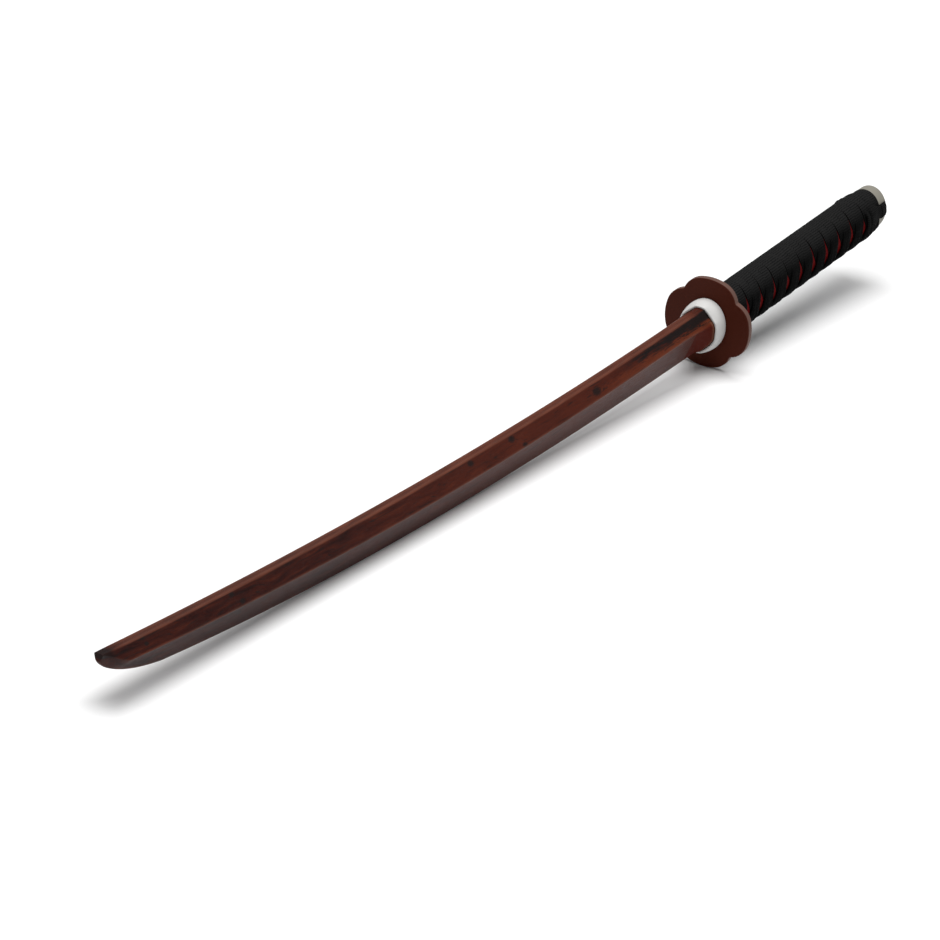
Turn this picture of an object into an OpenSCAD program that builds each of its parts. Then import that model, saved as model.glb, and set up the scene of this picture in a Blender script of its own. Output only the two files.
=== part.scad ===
// A wooden practice sword: one curved piece of hardwood with a lobed hand guard, a rubber
// stopper ring in front of it, and a handle bound with flat cotton cord over two side panels.
// X runs along the sword with the point at +X, and Z is up. The sword lies edge down, on the
// lowest lobe of its guard and on the belly of its blade. Stations along it are measured from
// the guard's front face: positive towards the point, negative towards the pommel.

/* [Blade] */
// Length of the blade along its curve, from the guard's front face
blade_len = 754.5; // [650:0.5:780]
// Radius of the blade's curve
curve_r = 5204; // [4600:4:6400]
// How far behind the guard's front face the curve begins
curve_start = 26; // [0:1:60]
// Width of the flat along the spine
spine_w = 5.6; // [4:0.2:8]
// Thickness of the blade across its ridges, at the guard
ridge_w = 20.8; // [18:0.2:22]
// Thickness across the ridges that the blade gains over its first third
ridge_swell = 1.8; // [0:0.1:2]
// Thickness lost across the ridges by the point
ridge_taper = 3.2; // [0:0.1:6]
// Height of the spine above the curve, at the guard
spine_h = 16.8; // [15:0.1:16.8]
// Height that the spine loses by the point
spine_drop = 4.7; // [2:0.1:7]
// Depth of the cutting edge below the curve, at the guard
edge_h = 16.8; // [15:0.1:16.8]
// Width of the blunt cutting edge
edge_w = 4; // [2:0.2:6]
// Length of the curved cutting edge at the point
point_len = 68; // [40:1:90]
// Height of the small end face at the point
end_face_h = 4.8; // [3:0.1:6]

/* [Handle] */
// Length from the guard's front face to the pommel's end
handle_len = 262; // [220:1:290]
// Width of the wooden handle under its binding
core_w = 27.6; // [27.4:0.2:30]
// Height of the wooden handle under its binding
core_h = 35; // [34.8:0.2:38]
// Width of the wood where the guard sits
seat_w = 26.4; // [25:0.2:26.4]
// Height of the wood where the guard sits
seat_h = 33.6; // [33:0.2:33.6]
// Length of the pommel cap
cap_len = 12; // [8:0.5:16]
// Wall of the pommel cap
cap_wall = 2; // [1.6:0.1:3]

/* [Binding] */
// Width of the flat cord
cord_w = 11.4; // [8:0.2:12]
// Thickness of the flat cord
cord_t = 1.2; // [0.8:0.05:1.6]
// Distance between the crossings along one side
cord_pitch = 20.7; // [18:0.1:24]
// Turns of each of the cord's two runs, up to the end knots
cord_turns = 10.5; // [9:0.5:10.5]
// Station of the first crossing on the near side
first_crossing = -25; // [-32:1:-20]
// Thickness of the side panels under the cord
panel_t = 0.3; // [0.2:0.05:0.6]

/* [Guard and ring] */
// Reach of each of the guard's four lobes from its centre
guard_r = 33.7; // [30:0.1:36]
// Thickness of the guard
guard_t = 5; // [4:0.1:7]
// Half the angle over which a lobe's rim is a plain arc
lobe_half_angle = 17; // [10:1:24]
// Reach of the notches between the lobes
notch_r = 29.3; // [27:0.1:30]
// Width of the stopper ring
ring_w = 32.8; // [31:0.2:36]
// Height of the stopper ring
ring_h = 39.8; // [38.6:0.2:44]
// Thickness of the stopper ring along the blade
ring_t = 13; // [8:0.5:16]
// Station at which the ring is widest
ring_widest_at = 5; // [3:0.5:7]
// Room beside the wood inside the guard and the ring
side_gap = 0.45; // [0.35:0.05:0.6]
// Room above and below the wood inside the guard and the ring
tall_gap = 0.7; // [0.6:0.05:0.9]

/* [Hidden] */

wood = [0.34, 0.17, 0.12];
dark_brown = [0.28, 0.13, 0.09];
white_rubber = [0.88, 0.88, 0.87];
red_cloth = [0.55, 0.03, 0.04];
black_cotton = [0.11, 0.11, 0.11];
warm_grey = [0.6, 0.58, 0.54];

face_gap = 0.3;
seat_power = 2.1;
core_power = 2;
full_blade_at = 34;
ridge_h = 8.8;
ridge_drop = 3.4;
ridge_level_at = 520;
turn_up_len = 22;
belly_rise_len = 120;
belly_taper = 4.3;
belly_taper_len = 690;
edge_round = 1.1;
spine_end_z = spine_h - spine_drop;
core_end = -handle_len + 2.5;
cap_front = -handle_len + cap_len;
binding_start = -guard_t - face_gap;
ring_start = face_gap;

// Smooth step from 0 to 1 as v runs from a to b
function ease(v, a, b) = let (t = max(0, min(1, (v - a) / (b - a)))) t * t * (3 - 2 * t);
function mix(a, b, t) = a + (b - a) * t;

// Profile lines of the blade, as heights above its curve at station s
function spine_z(s) = spine_h - spine_drop * pow(max(s, 0) / blade_len, 3);
function belly_z(s) =
    -edge_h + 1 - exp(-max(s, 0) / belly_rise_len) + belly_taper * pow(max(s, 0) / belly_taper_len, 5);
function point_turn(u) = 0.25 * u + 0.75 * (1 - sqrt(1 - u * u));
point_cut = 0.985;
function edge_z(s) =
    let (start = blade_len - point_len, u = max(0, min(1, (s - start) / point_len)),
         end_z = spine_end_z - end_face_h)
    s <= start ? belly_z(s)
    : mix(belly_z(start), end_z, point_turn(u * point_cut) / point_turn(point_cut));
function ridge_up(s) = ease(s, blade_len - turn_up_len, blade_len);
function ridge_y(s) =
    mix((ridge_w + ridge_swell * ease(s, 0, blade_len / 3) - ridge_taper * max(s, 0) / blade_len) / 2,
        spine_w / 2 + 0.3, ridge_up(s));
function ridge_z(s) =
    let (fall = pow(cos(90 * min(1, max(s, 0) / ridge_level_at)), 2))
    mix(ridge_h - ridge_drop * (1 - fall), spine_end_z - 0.8, ridge_up(s));

// Half of the blade's section at station s, from the spine down to the edge
function blade_half(s) =
    let (zt = spine_z(s), ze = edge_z(s), yr = ridge_y(s), zr = ridge_z(s),
         ye = min(edge_w / 2, yr), zc = min(ze + edge_round, zr - 0.1))
    [[0, zt], [spine_w / 2, zt],
     for (t = [1, 2]) [mix(spine_w / 2, yr, t / 3), mix(zt, zr, t / 3)],
     [yr, zr],
     for (t = [1, 2, 3]) [mix(yr, ye, t / 4), mix(zr, zc, t / 4)],
     [ye, zc], [ye * 0.7, mix(zc, ze, 0.75)], [0, ze]];

// Distance from the centre to an oval's outline, in the direction of a degrees
function oval_reach(a, w, h, power) =
    pow(pow(abs(cos(a)) / (w / 2), power) + pow(abs(sin(a)) / (h / 2), power), -1 / power);
function oval(w, h, power, count = 72) =
    [for (i = [0 : count - 1])
        let (a = 360 * i / count) oval_reach(a, w, h, power) * [cos(a), sin(a)]];

// Size of the wood's round sections: the tenon in the cap, the handle, and the guard's seat
function round_size(s) =
    s < cap_front ? [core_w - 2 * cap_wall - 0.4, core_h - 2 * cap_wall - 0.8]
    : s < binding_start ? [core_w, core_h] : [seat_w, seat_h];
function round_power(s) = s < binding_start ? core_power : seat_power;
function roundness(s) = 1 - ease(s, ring_start + ring_t, full_blade_at);

function wood_half(s) =
    let (size = round_size(s), power = round_power(s), r = roundness(s))
    [for (q = blade_half(s))
        let (reach = oval_reach(atan2(q[1], q[0]), size[0], size[1], power))
        q * mix(1, reach / norm(q), r)];
function wood_ring(s) =
    let (half = wood_half(s), last = len(half) - 1)
    concat(half, [for (i = [last - 1 : -1 : 1]) [-half[i][0], half[i][1]]]);

// A point of the section at station s: straight along the handle, on the curve past the guard
function on_sword(s, q) =
    let (turn = max(s, 0) / curve_r * 180 / PI, lean = asin(curve_start / curve_r),
         centre_z = curve_r * cos(lean))
    s <= 0 ? [s, q[0], q[1]]
    : [(curve_r - q[1]) * sin(turn + lean) - curve_start + q[1] * sin(lean), q[0],
       centre_z - (curve_r - q[1]) * cos(turn + lean) + q[1] * (1 - cos(lean))];

// Joins a list of rings of equal length into one closed solid
module skin(rings) {
    n = len(rings[0]);
    last = len(rings) - 1;
    sides = [for (j = [0 : last - 1], i = [0 : n - 1])
        let (k = (i + 1) % n)
        each [[j * n + i, j * n + k, (j + 1) * n + i], [j * n + k, (j + 1) * n + k, (j + 1) * n + i]]];
    ends = [[for (i = [n - 1 : -1 : 0]) i], [for (i = [0 : n - 1]) last * n + i]];
    polyhedron([for (r = rings, p = r) p], concat(sides, ends), convexity = 6);
}

// How the sword lies: the tilt that brings the guard's lobe and the belly to one level
belly_from = 200;
belly_to = 650;
belly = [for (s = [belly_from : 5 : belly_to]) on_sword(s, [0, edge_z(s)])];
tilt = min([for (p = belly) atan((p[2] + guard_r) / p[0])]);
point_top = on_sword(blade_len, [0, spine_end_z]);
front_x = point_top[0] * cos(tilt) + point_top[2] * sin(tilt);
back_x = -handle_len * cos(tilt) - seat_h / 2 * sin(tilt);
module laid() {
    translate([-(front_x + back_x) / 2, 0, guard_r * cos(tilt)]) rotate([0, tilt, 0]) children();
}

// A plate or bar with the outline of its 2D children, from station a to station b
module along(a, b) {
    translate([a, 0, 0]) rotate([90, 0, 90]) linear_extrude(b - a) children();
}

// Stations of the wood's sections: a step at each shoulder, and crowded towards the point
shoulder = 0.05;
handle_step = 20;
scoop_step = 3;
blade_step = 25;
point_steps = 16;
point_crowding = 1.6;
module hardwood_body() {
    blade_from = 2 * blade_step;
    point_from = blade_len - point_len;
    stations = concat(
        [core_end, cap_front + shoulder, cap_front + 2 * shoulder],
        [for (s = [cap_front + handle_step / 2 : handle_step : -handle_step]) s],
        [binding_start - shoulder, binding_start, 0],
        [for (s = [ring_start + ring_t : scoop_step : full_blade_at + scoop_step]) s],
        [for (s = [blade_from : blade_step : point_from - blade_step / 2]) s],
        [for (i = [0 : point_steps]) blade_len - point_len * pow(1 - i / point_steps, point_crowding)]);
    color(wood) laid() skin([for (s = stations) [for (q = wood_ring(s)) on_sword(s, q)]]);
}

// Outline of the guard: four lobes whose corners round into the notches
module guard_outline() {
    a = lobe_half_angle;
    far = notch_r * (cos(45 - a));
    corner_at = (guard_r * guard_r - notch_r * notch_r) / (2 * (guard_r - far));
    corner_r = guard_r - corner_at;
    circle(r = corner_at, $fn = 96);
    for (lobe = [0 : 90 : 270]) {
        for (side = [-a, a]) rotate(lobe + side) translate([corner_at, 0]) circle(r = corner_r, $fn = 96);
        rotate(lobe) intersection() {
            circle(r = guard_r, $fn = 180);
            polygon([[0, 0], for (side = [-a, a]) 2 * guard_r * [cos(side), sin(side)]]);
        }
    }
}
module wood_hole() {
    polygon(oval(seat_w + 2 * side_gap, seat_h + 2 * tall_gap, seat_power));
}
module hand_guard() {
    color(dark_brown) laid() along(-guard_t, 0) difference() {
        guard_outline();
        wood_hole();
    }
}

// The ring's wall is round outside: it swells from both faces, with a lip around the wood, to
// its widest section. The round runs a little past each face.
lip_w = seat_w + 3;
lip_h = seat_h + 4;
past_face = 1;
module stopper_ring() {
    steps = 8;
    slice = ring_t / steps;
    color(white_rubber) laid() for (i = [0 : steps - 1]) {
        from_widest = ring_start + slice * (i + 0.5) - ring_widest_at;
        reach = past_face + (from_widest < 0 ? ring_widest_at : ring_t - ring_widest_at);
        swell = sqrt(1 - pow(from_widest / reach, 2));
        along(ring_start + slice * i, ring_start + slice * (i + 1)) difference() {
            polygon(oval(mix(lip_w, ring_w, swell), mix(lip_h, ring_h, swell), core_power));
            wood_hole();
        }
    }
}

// A strip of an oval wall around the handle, as far as an angle above and below its side
module wall_strip(w, h, t, half_angle, steps = 12) {
    turns = [for (i = [0 : steps]) mix(-half_angle, half_angle, i / steps)];
    polygon(concat(
        [for (a = turns) oval_reach(a, w, h, core_power) * [cos(a), sin(a)]],
        [for (i = [steps : -1 : 0])
            let (a = turns[i]) oval_reach(a, w + 2 * t, h + 2 * t, core_power) * [cos(a), sin(a)]]));
}
panel_half_angle = 52;
panel_inset = 3;
module side_panel() {
    color(red_cloth) laid() along(cap_front + panel_inset, binding_start - panel_inset)
        wall_strip(core_w, core_h, panel_t, panel_half_angle);
}
module side_panel_left() { side_panel(); }
module side_panel_right() { mirror([0, 1, 0]) side_panel(); }

// One run of the cord. It crosses the sides on a slant and the spine and edge almost square.
slant = 0.75;
run_steps = 44;
run_start = -0.61;
run_lip = 0.35;
// How far from a crossing, in half turns, a run starts down and is down
lift_keeps = 0.09;
lift_ends = 0.3;
function run_advance(turn) = turn + slant * sin(720 * turn) / (4 * PI);
// Height over the handle: the runs take turns to pass over each other
function run_lift(turn, over_on) =
    let (side = round(turn * 2), near = 1 - ease(abs(turn * 2 - side), lift_keeps, lift_ends))
    panel_t + cord_t * (abs(side % 2) == over_on ? near : 0);
function run_ring(turn, hand, over_on) =
    let (a = hand * 360 * turn, x = first_crossing - cord_pitch * run_advance(turn),
         low = run_lift(turn, over_on), high = low + cord_t, half_w = cord_w / 2)
    [for (q = [[-half_w, low], [-half_w + run_lip, high], [half_w - run_lip, high], [half_w, low]])
        let (reach = oval_reach(a, core_w + 2 * q[1], core_h + 2 * q[1], core_power))
        [x + q[0], reach * cos(a), reach * sin(a)]];
module cord_run(hand, over_on) {
    turns = [for (i = [run_start * run_steps : cord_turns * run_steps]) i / run_steps];
    rings = [for (turn = turns) run_ring(turn, hand, over_on)];
    color(black_cotton) laid() skin(hand > 0 ? [for (i = [len(rings) - 1 : -1 : 0]) rings[i]] : rings);
}
module binding_cord_first_run() { cord_run(1, 0); }
module binding_cord_second_run() { cord_run(-1, 1); }

// The cord's ends: two loops across the last crossing and a strap that goes over the cap
strap_half_angle = 17;
strap_rise = 0.2;
strap_end = -handle_len + 3.2;
loop_r = 2.2;
loop_reach = 7.5;
loop_apart = 6;
last_crossing = first_crossing - 10 * cord_pitch;
module end_knot() {
    color(black_cotton) laid() {
        difference() {
            for (x = [last_crossing + loop_apart - loop_r, last_crossing - loop_r]) hull()
                for (z = [-loop_reach, loop_reach])
                    translate([x, core_w / 2 + loop_r / 3, z]) sphere(r = loop_r, $fn = 24);
            along(cap_front, binding_start) polygon(oval(core_w, core_h, core_power));
        }
        along(strap_end, last_crossing)
            wall_strip(core_w + 2 * strap_rise, core_h + 2 * strap_rise, cord_t + strap_rise,
                       strap_half_angle);
    }
}
module end_knot_left() { end_knot(); }
module end_knot_right() { mirror([0, 1, 0]) end_knot(); }

// The cap over the handle's end: a cup with a rounded rim
cap_w = core_w - 0.2;
cap_h = core_h - 0.6;
rim_r = 1.6;
rim_mid = 0.3 * rim_r;
cap_end_wall = cap_wall + 0.4;
thin = 0.2;
module cap_outline(inset) {
    polygon(oval(cap_w - 2 * inset, cap_h - 2 * inset, core_power, 48));
}
module pommel_cap() {
    color(warm_grey) laid() difference() {
        hull() {
            along(-handle_len, -handle_len + thin) cap_outline(rim_r);
            along(-handle_len + rim_mid, -handle_len + rim_mid + thin) cap_outline(rim_mid);
            along(-handle_len + rim_r, cap_front) cap_outline(0);
        }
        along(-handle_len + cap_end_wall, cap_front + 1) cap_outline(cap_wall);
    }
}

hardwood_body();
hand_guard();
stopper_ring();
side_panel_left();
side_panel_right();
binding_cord_first_run();
binding_cord_second_run();
end_knot_left();
end_knot_right();
pommel_cap();
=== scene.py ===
import math

import bmesh
import bpy
import numpy as np
from mathutils import Matrix, Vector


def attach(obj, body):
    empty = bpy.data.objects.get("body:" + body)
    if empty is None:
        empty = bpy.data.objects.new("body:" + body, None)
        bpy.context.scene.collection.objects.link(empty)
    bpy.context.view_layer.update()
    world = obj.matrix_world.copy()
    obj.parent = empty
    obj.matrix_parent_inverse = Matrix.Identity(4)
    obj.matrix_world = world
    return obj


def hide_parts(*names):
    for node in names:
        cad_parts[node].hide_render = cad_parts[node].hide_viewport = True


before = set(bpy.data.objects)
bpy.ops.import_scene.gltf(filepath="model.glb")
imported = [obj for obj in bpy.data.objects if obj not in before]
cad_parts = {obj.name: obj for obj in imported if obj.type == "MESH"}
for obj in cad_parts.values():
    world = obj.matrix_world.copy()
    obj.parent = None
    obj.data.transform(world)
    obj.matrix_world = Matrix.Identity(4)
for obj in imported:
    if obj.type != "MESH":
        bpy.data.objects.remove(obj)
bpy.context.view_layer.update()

MM = 0.001

# ---------------------------------------------------------------- driving sizes, in millimetres
# Stations run along the sword from the guard's front face: positive towards the point.
BLADE_LEN = 754.5
CURVE_R = 5204.0
CURVE_START = 26.0
SPINE_W = 5.6
RIDGE_W = 20.8
RIDGE_SWELL = 1.8
RIDGE_SWELL_LEN = BLADE_LEN / 3
RIDGE_TAPER = 3.2
RIDGE_H = 8.8
RIDGE_DROP = 3.4
RIDGE_LEVEL_AT = 520.0
SPINE_H = 16.8
SPINE_DROP = 4.7
SPINE_END_Z = SPINE_H - SPINE_DROP
EDGE_H = 16.8
EDGE_W = 4.0
EDGE_ROUND = 1.1
BELLY_RISE_LEN = 120.0
BELLY_TAPER = 4.3
BELLY_TAPER_LEN = 690.0

POINT_LEN = 68.0
END_FACE_H = 4.8
TURN_UP_LEN = 22.0
# How much of a quarter turn the point's belly runs through, and the straight part of its rise
POINT_CUT = 0.985
POINT_STRAIGHT = 0.25
# Where the ridge ends at the point: outside the spine's corner and below it
RIDGE_END_OUT, RIDGE_END_DROP = 0.3, 0.8

HANDLE_LEN = 262.0
CORE_W, CORE_H = 27.6, 35.0
CORE_POWER = 2.0
SEAT_W, SEAT_H = 26.4, 33.6
SEAT_POWER = 2.1
CAP_LEN = 12.0
CAP_WALL = 2.0
WAIST = 1.5
FACE_GAP = 0.3

CORD_W = 11.4
CORD_T = 1.2
CORD_PITCH = 20.7
CROSSINGS = 10
FIRST_CROSSING = -25.0
FIRST_TURN, LAST_TURN = -0.84, 11.0
PANEL_T = 0.3

GUARD_R = 33.7
GUARD_T = 5.0
GUARD_RIM_R = 0.9
GUARD_FACE_LOOPS, GUARD_RIM_LOOPS = 9, 7
GUARD_HOLE_R = 0.5
LOBE_HALF_ANGLE = 17.0
NOTCH_R = 29.3
NOTCH_SOFT = 0.9
SIDE_GAP, TALL_GAP = 0.45, 0.7

RING_W, RING_H = 32.8, 38.8
RING_T = 13.0
RING_WIDEST_AT = 5.0
RING_BACK_W, RING_BACK_H = SEAT_W + 3, SEAT_H + 3.4
# How far the ring's back is eased from its hole, and from its outside
BACK_HOLE_EASE, BACK_RIM_EASE = 0.3, 0.12
# The swelling runs out a little past each face, and its back is rounder than its front
PAST_FACE = 0.35
BACK_POWER, FRONT_POWER = 0.5, 0.8
# The ring's front lip: its gap to the wood, its outer side, its radius and the length of its bore
LIP_GAP, LIP_OUT = 0.35, 1.6
LIP_R = 0.5
LIP_BORE = 1.6

CAP_FRONT = -HANDLE_LEN + CAP_LEN
CORE_END = -HANDLE_LEN + 2.5
BINDING_START = -GUARD_T - FACE_GAP
RING_START = FACE_GAP
LAST_CROSSING = FIRST_CROSSING - CROSSINGS * CORD_PITCH


def ease(v, a, b):
    """Smooth step from 0 to 1 as v runs from a to b."""
    t = np.clip((v - a) / (b - a), 0.0, 1.0)
    return t * t * (3 - 2 * t)


def mix(a, b, t):
    return a + (b - a) * t


# ---------------------------------------------------------------- lines of the blade
def spine_z(s):
    return SPINE_H - SPINE_DROP * (max(s, 0) / BLADE_LEN) ** 3


def belly_z(s):
    s = max(s, 0)
    return -EDGE_H + 1 - math.exp(-s / BELLY_RISE_LEN) + BELLY_TAPER * (s / BELLY_TAPER_LEN) ** 5


def point_turn(u):
    return POINT_STRAIGHT * u + (1 - POINT_STRAIGHT) * (1 - math.sqrt(1 - u * u))


def edge_z(s):
    start = BLADE_LEN - POINT_LEN
    if s <= start:
        return belly_z(s)
    u = min(1.0, (s - start) / POINT_LEN)
    risen = point_turn(u * POINT_CUT) / point_turn(POINT_CUT)
    return mix(belly_z(start), SPINE_END_Z - END_FACE_H, risen)


def ridge(s):
    """(half width, height) of the ridge at station s."""
    up = ease(s, BLADE_LEN - TURN_UP_LEN, BLADE_LEN)
    wide = RIDGE_W + RIDGE_SWELL * ease(s, 0, RIDGE_SWELL_LEN) - RIDGE_TAPER * max(s, 0) / BLADE_LEN
    fall = math.cos(math.pi / 2 * min(1, max(s, 0) / RIDGE_LEVEL_AT)) ** 2
    return (
        mix(wide / 2, SPINE_W / 2 + RIDGE_END_OUT, up),
        mix(RIDGE_H - RIDGE_DROP * (1 - fall), SPINE_END_Z - RIDGE_END_DROP, up),
    )


def oval_reach(angle, w, h, power):
    """Distance from the centre to an oval's outline, in the direction of angle."""
    across = np.abs(np.cos(angle)) / (w / 2)
    up = np.abs(np.sin(angle)) / (h / 2)
    return (across**power + up**power) ** (-1 / power)


def on_sword(s, y, z):
    """Points of sections at stations s: straight along the handle, on the curve past the guard."""
    s, y, z = np.broadcast_arrays(np.asarray(s, float), np.asarray(y, float), np.asarray(z, float))
    lean = math.asin(CURVE_START / CURVE_R)
    turn = np.maximum(s, 0) / CURVE_R + lean
    x = np.where(s <= 0, s, (CURVE_R - z) * np.sin(turn) - CURVE_START + z * math.sin(lean))
    centre = CURVE_R * math.cos(lean)
    up = np.where(s <= 0, z, centre - (CURVE_R - z) * np.cos(turn) + z * (1 - math.cos(lean)))
    return np.stack([x, y, up], -1)


# Stations of the belly where it can touch the floor: first, last and step
BELLY_STATIONS = (200.0, 651.0, 5.0)


def lie_of_sword():
    """Tilt and shift that lay the sword on its guard's lobe and its belly, as the CAD part lies."""
    belly = [on_sword(s, 0, edge_z(s)) for s in np.arange(*BELLY_STATIONS)]
    tilt = min(math.atan((p[2] + GUARD_R) / p[0]) for p in belly)
    top = on_sword(BLADE_LEN, 0, SPINE_END_Z)
    front = top[0] * math.cos(tilt) + top[2] * math.sin(tilt)
    back = -HANDLE_LEN * math.cos(tilt) - SEAT_H / 2 * math.sin(tilt)
    return tilt, -(front + back) / 2, GUARD_R * math.cos(tilt)


TILT, SHIFT_X, SHIFT_Z = lie_of_sword()


def lay(points):
    """From the sword's own frame in millimetres to the shared frame in metres."""
    p = np.asarray(points, float)
    c, s = math.cos(TILT), math.sin(TILT)
    x = p[..., 0] * c + p[..., 2] * s + SHIFT_X
    z = -p[..., 0] * s + p[..., 2] * c + SHIFT_Z
    return np.stack([x, p[..., 1], z], -1) * MM


# ---------------------------------------------------------------- camera and light
VIEW_AZIMUTH = 117.328
VIEW_ELEVATION = 22.856
VIEW_ROLL = 7.719
VIEW_TARGET = Vector((0.0813, -0.0013, 0.0200))
VIEW_DISTANCE = 2.9022
VIEW_LENS = 172.03
SENSOR = 36.0
VIEW_LIMIT = 40


def place_camera():
    azimuth, elevation = math.radians(VIEW_AZIMUTH), math.radians(VIEW_ELEVATION)
    back = Vector((
        math.sin(azimuth) * math.cos(elevation),
        -math.cos(azimuth) * math.cos(elevation),
        math.sin(elevation),
    ))
    data = bpy.data.cameras.new("camera")
    data.lens = VIEW_LENS
    data.sensor_width = SENSOR
    data.clip_end = VIEW_LIMIT
    camera = bpy.data.objects.new("camera", data)
    bpy.context.scene.collection.objects.link(camera)
    turn = (-back).to_track_quat("-Z", "Y").to_matrix().to_4x4()
    roll = Matrix.Rotation(math.radians(VIEW_ROLL), 4, "Z")
    camera.matrix_world = Matrix.Translation(VIEW_TARGET + back * VIEW_DISTANCE) @ turn @ roll
    bpy.context.scene.camera = camera


def area_light(name, place, aim, size, watts):
    data = bpy.data.lights.new(name, "AREA")
    data.shape = "DISK"
    data.size = size
    data.energy = watts
    light = bpy.data.objects.new(name, data)
    bpy.context.scene.collection.objects.link(light)
    light.location = place
    light.rotation_mode = "QUATERNION"
    light.rotation_quaternion = (Vector(aim) - Vector(place)).to_track_quat("-Z", "Y")


# ---------------------------------------------------------------- shader maths
class Sock:
    """A node socket with arithmetic: an expression on values adds its Math nodes."""

    def __init__(self, shader, socket):
        self.shader = shader
        self.socket = socket

    def _math(self, kind, *others):
        return self.shader.node("ShaderNodeMath", {"operation": kind}, self, *others)

    def __add__(self, other):
        return self._math("ADD", other)

    __radd__ = __add__

    def __sub__(self, other):
        return self._math("SUBTRACT", other)

    def __mul__(self, other):
        return self._math("MULTIPLY", other)

    def sin(self):
        return self._math("SINE")

    def abs(self):
        return self._math("ABSOLUTE")

    def max(self, other):
        return self._math("MAXIMUM", other)

    def rise(self, low, high):
        """0 below low, 1 above high, and smooth between; falls where low is above high."""
        smooth = {"interpolation_type": "SMOOTHSTEP"}
        return self.shader.node("ShaderNodeMapRange", smooth, self, low, high, 0.0, 1.0)


class Shader:
    """A material under construction. node() adds any node from its type, settings and inputs."""

    def __init__(self, name, **constants):
        self.material = bpy.data.materials.new(name)
        self.material.use_nodes = True
        self.tree = self.material.node_tree
        self.surface = self.tree.nodes["Principled BSDF"]
        for socket, value in constants.items():
            self.surface.inputs[socket.replace("_", " ")].default_value = value

    def node(self, kind, settings, *values, out=0, **named):
        made = self.tree.nodes.new(kind)
        for key, value in settings.items():
            if key == "stops":
                self._set_stops(made.color_ramp, value)
            else:
                setattr(made, key, value)
        pairs = list(zip([i for i in made.inputs if i.enabled], values))
        pairs += [(made.inputs[key.replace("_", " ")], value) for key, value in named.items()]
        for socket, value in pairs:
            if isinstance(value, Sock):
                self.tree.links.new(value.socket, socket)
            elif value is not None:
                socket.default_value = value
        outputs = [o for o in made.outputs if o.enabled]
        return Sock(self, outputs[out])

    @staticmethod
    def _set_stops(ramp, stops):
        while len(ramp.elements) < len(stops):
            ramp.elements.new(0.5)
        for element, (place, colour) in zip(ramp.elements, stops):
            element.position = place
            element.color = (*colour, 1)

    def mark(self, name):
        """The three values of a mark on the mesh's points."""
        vector = self.node("ShaderNodeAttribute", {"attribute_name": name}, out=1)
        split = self.node("ShaderNodeSeparateXYZ", {}, vector)
        return [Sock(self, o) for o in split.socket.node.outputs]

    def place(self):
        """Where a point is on its piece, in metres."""
        return self.node("ShaderNodeTexCoord", {}, out=3)

    def join(self, x, y, z):
        return self.node("ShaderNodeCombineXYZ", {}, x, y, z)

    def noise(self, vector, scale, detail, rough=0.5):
        return self.node("ShaderNodeTexNoise", {}, vector, None, scale, detail, rough)

    def stretched(self, values, paces, detail, rough=0.5):
        """Noise with a pace of its own, in waves to the millimetre, along each of three values."""
        return self.noise(self.join(*(v * p for v, p in zip(values, paces))), 1.0, detail, rough)

    def blend(self, share, low, high):
        low, high = [(*c, 1) if isinstance(c, tuple) else c for c in (low, high)]
        return self.node("ShaderNodeMix", {"data_type": "RGBA"}, share, low, high)

    def bump(self, height, distance, strength):
        return self.node("ShaderNodeBump", {}, strength, distance, Height=height)

    def feed(self, **links):
        for socket, value in links.items():
            self.tree.links.new(value.socket, self.surface.inputs[socket.replace("_", " ")])
        return self.material


# ---------------------------------------------------------------- materials
# Colours of the wood's streaks, from the darkest to the lightest
WOOD_STREAKS = [
    (0.28, (0.009, 0.0030, 0.0026)),
    (0.45, (0.026, 0.0052, 0.0038)),
    (0.60, (0.040, 0.0078, 0.0044)),
    (0.76, (0.072, 0.0160, 0.0080)),
]
RED_WOOD = (0.084, 0.0155, 0.0068)
WARM_WOOD = (0.110, 0.0240, 0.0095)
HEARTWOOD = (0.010, 0.0065, 0.0062)
PORE = (0.010, 0.0045, 0.004)
WORN_WOOD = (0.165, 0.058, 0.036)
PLANED_WOOD = (0.066, 0.0060, 0.0018)
BARE_WOOD = (0.130, 0.060, 0.035)
END_GRAIN = (0.008, 0.005, 0.005)

# Stations in millimetres between which each of these comes in or fades out
RED_FADES = (560.0, 260.0)
WARM_FADES = (230.0, 60.0)
HEART_FADES = (150.0, 105.0)
PLANED_FADES = (36.0, 32.0)
BARE_FADES = (17.0, 15.4)
END_GRAIN_STARTS = (741.0, 748.0)
# Heartwood streak: its first station, its height there, its slope, half width and narrowing
HEART_START, HEART_Z, HEART_SLOPE = 25.0, 13.5, 0.012
HEART_HALF_W, HEART_NARROWS = 2.8, 0.018

# Dark knots of the wood: station and height on the section, and size, in millimetres
KNOTS = [
    (174, 12, 3.0), (286, 14, 2.2), (275, 8, 1.7), (339, 14, 2.2), (621, 12.5, 1.6),
    (614, 7.5, 1.7), (588, 1.5, 1.3), (616, 0.5, 1.6), (715, 12, 1.3), (714, 9, 1.2),
]
KNOT_STRETCH = 0.45


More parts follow.
